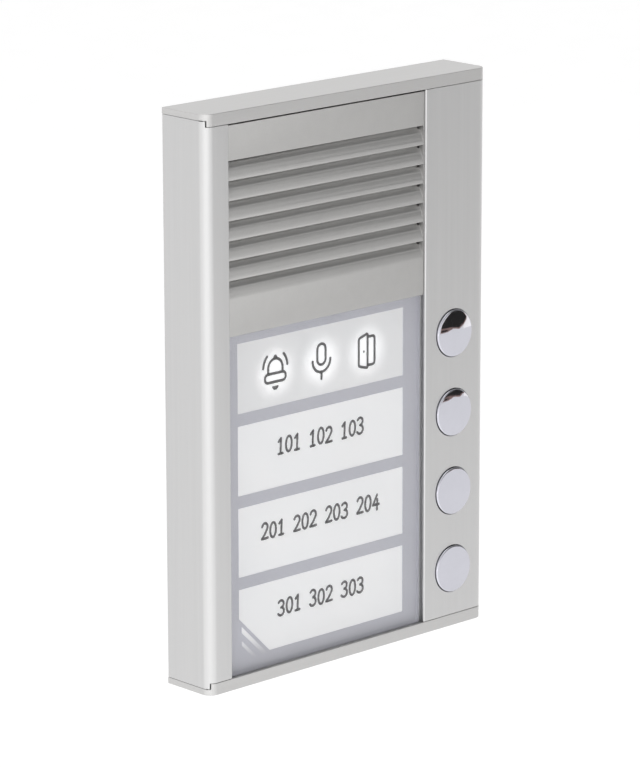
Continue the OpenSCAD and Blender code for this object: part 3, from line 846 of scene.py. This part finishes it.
FLANGE_REACH = 0.85 * MM         # of a cap's flange past its side
FLANGE_DEPTH = 0.8 * MM
CAP_BEVEL = 0.4 * MM
CAP_CROWN = 0.18 * MM            # height of the middle of the face over its edge
CAP_WALL = 1.2 * MM
CAP_ROOF = 1.6 * MM              # thickness behind the face
FACE_STEPS = 16
BEVEL_STEPS = 10

WIRE_RADIUS = 0.28 * MM
WIRE_SIDES = 8
TURNS = 4.5
TURN_STEPS = 24


def make_buttons():
    chrome = polished_chrome("polished_chrome")
    for i in BUTTONS:
        node = f"call_button_{i}"
        low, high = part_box(node)
        front, back = low.y, high.y
        flange_r = (high.x - low.x) / 2
        radius = flange_r - FLANGE_REACH
        face_r = radius - CAP_BEVEL
        face = [(face_r * t, front + CAP_CROWN * t * t)
                for t in (k / FACE_STEPS for k in range(FACE_STEPS + 1))]
        edge = [(face_r + CAP_BEVEL * math.sin(a),
                 front + CAP_CROWN + CAP_BEVEL * (1 - math.cos(a)))
                for a in (math.radians(90 * k / BEVEL_STEPS) for k in range(1, BEVEL_STEPS + 1))]
        flange = [(radius, back - FLANGE_DEPTH), (flange_r, back - FLANGE_DEPTH), (flange_r, back)]
        hollow = [(radius - CAP_WALL, back), (radius - CAP_WALL, front + CAP_ROOF),
                  (0.0, front + CAP_ROOF)]
        lathe(f"chrome_cap_{i}", middle(node), face + edge + flange + hollow, chrome,
              f"button_{i}", [node])


def coil_into(bm, x, z, radius, start, end):
    """Adds a coil of wire round an axis along Y, with flat ends."""
    count = int(TURNS * TURN_STEPS)
    rings = []
    for k in range(count + 1):
        a = 2 * math.pi * k / TURN_STEPS
        out = Vector((math.cos(a), 0.0, math.sin(a)))
        centre = Vector((x, start + (end - start) * k / count, z)) + out * radius
        rings.append([bm.verts.new(centre + out * WIRE_RADIUS * math.cos(b)
                                   + Vector((0, WIRE_RADIUS * math.sin(b), 0)))
                      for b in circle(WIRE_SIDES)])
    for ring, following in zip(rings, rings[1:]):
        for j in range(WIRE_SIDES):
            bm.faces.new((ring[j], ring[(j + 1) % WIRE_SIDES],
                          following[(j + 1) % WIRE_SIDES], following[j]))
    bm.faces.new(rings[0])
    bm.faces.new(rings[-1])


def make_springs():
    """Each return spring as wire wound round its stem."""
    wire = turned_metal("spring_wire", (0.7, 0.7, 0.72), 0.25)
    for i in BUTTONS:
        node = f"return_spring_{i}"
        low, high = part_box(node)
        x, z = middle(node)
        bm = bmesh.new()
        coil_into(bm, x, z, (high.x - low.x) / 2 - WIRE_RADIUS,
                  low.y + WIRE_RADIUS, high.y - WIRE_RADIUS)
        piece = new_piece(f"spring_coil_{i}", bm, wire, replaces=[node])
        smooth_by_angle(piece.data, COIL_SHARP)
        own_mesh(piece)


# ---------------------------------------------------------------- inside and behind

def paint_inside():
    """Materials of the CAD nodes that keep their CAD shape."""
    paint(moulded("black_moulding", BLACK, 0.5), "button_guide", "rear_base", "tact_switches",
          *[f"button_stem_{i}" for i in BUTTONS])
    paint(moulded("brown_plunger", (0.12, 0.04, 0.02), 0.4),
          *[f"switch_plunger_{i}" for i in BUTTONS])
    paint(moulded("black_rubber", (0.014, 0.014, 0.014), 0.7, 1400.0, 0.04 * MM),
          "cable_grommet", "microphone_boot")
    paint(foam("closed_cell_foam", (0.02, 0.02, 0.02)), "wall_gasket", "speaker_gasket")
    paint(turned_metal("zinc_screw", (0.62, 0.62, 0.6)), "bottom_cap_screws", "lock_screw",
          "board_screws", "terminal_screws", "speaker_screws")
    paint(turned_metal("brass", (0.7, 0.5, 0.2)), "board_standoffs")
    paint(woven("acoustic_cloth", (0.03, 0.03, 0.03), 0.5 * MM), "sound_mesh")
    paint(moulded("milky_diffuser", (0.85, 0.86, 0.86), 0.35, 900.0, 0.01 * MM), "light_diffuser")
    paint(moulded("led_lens", (0.8, 0.7, 0.25), 0.2, 3000.0, 0.005 * MM), "backlight_leds")
    paint(board_laminate("solder_mask"), "circuit_board")
    paint(moulded("chip_epoxy", (0.02, 0.02, 0.02), 0.55), "circuit_chips")
    paint(turned_metal("capacitor_can", (0.5, 0.5, 0.55), 0.35), "capacitors")
    paint(moulded("terminal_green", (0.02, 0.16, 0.07), 0.4), "terminal_block")
    paint(moulded("speaker_coating", (0.03, 0.03, 0.035), 0.45), "speaker_frame")
    paint(turned_metal("magnet_plate", (0.3, 0.3, 0.31), 0.4), "speaker_magnet")
    paint(moulded("cone_film", (0.025, 0.025, 0.03), 0.3, 500.0, 0.02 * MM), "speaker_cone")
    paint(moulded("lead_red", (0.4, 0.02, 0.02), 0.4), "speaker_leads")
    paint(turned_metal("microphone_can", (0.65, 0.65, 0.65), 0.3), "microphone")


make_camera()
make_stage()
make_shell()
make_window()
make_labels()
make_buttons()
make_springs()
paint_inside()
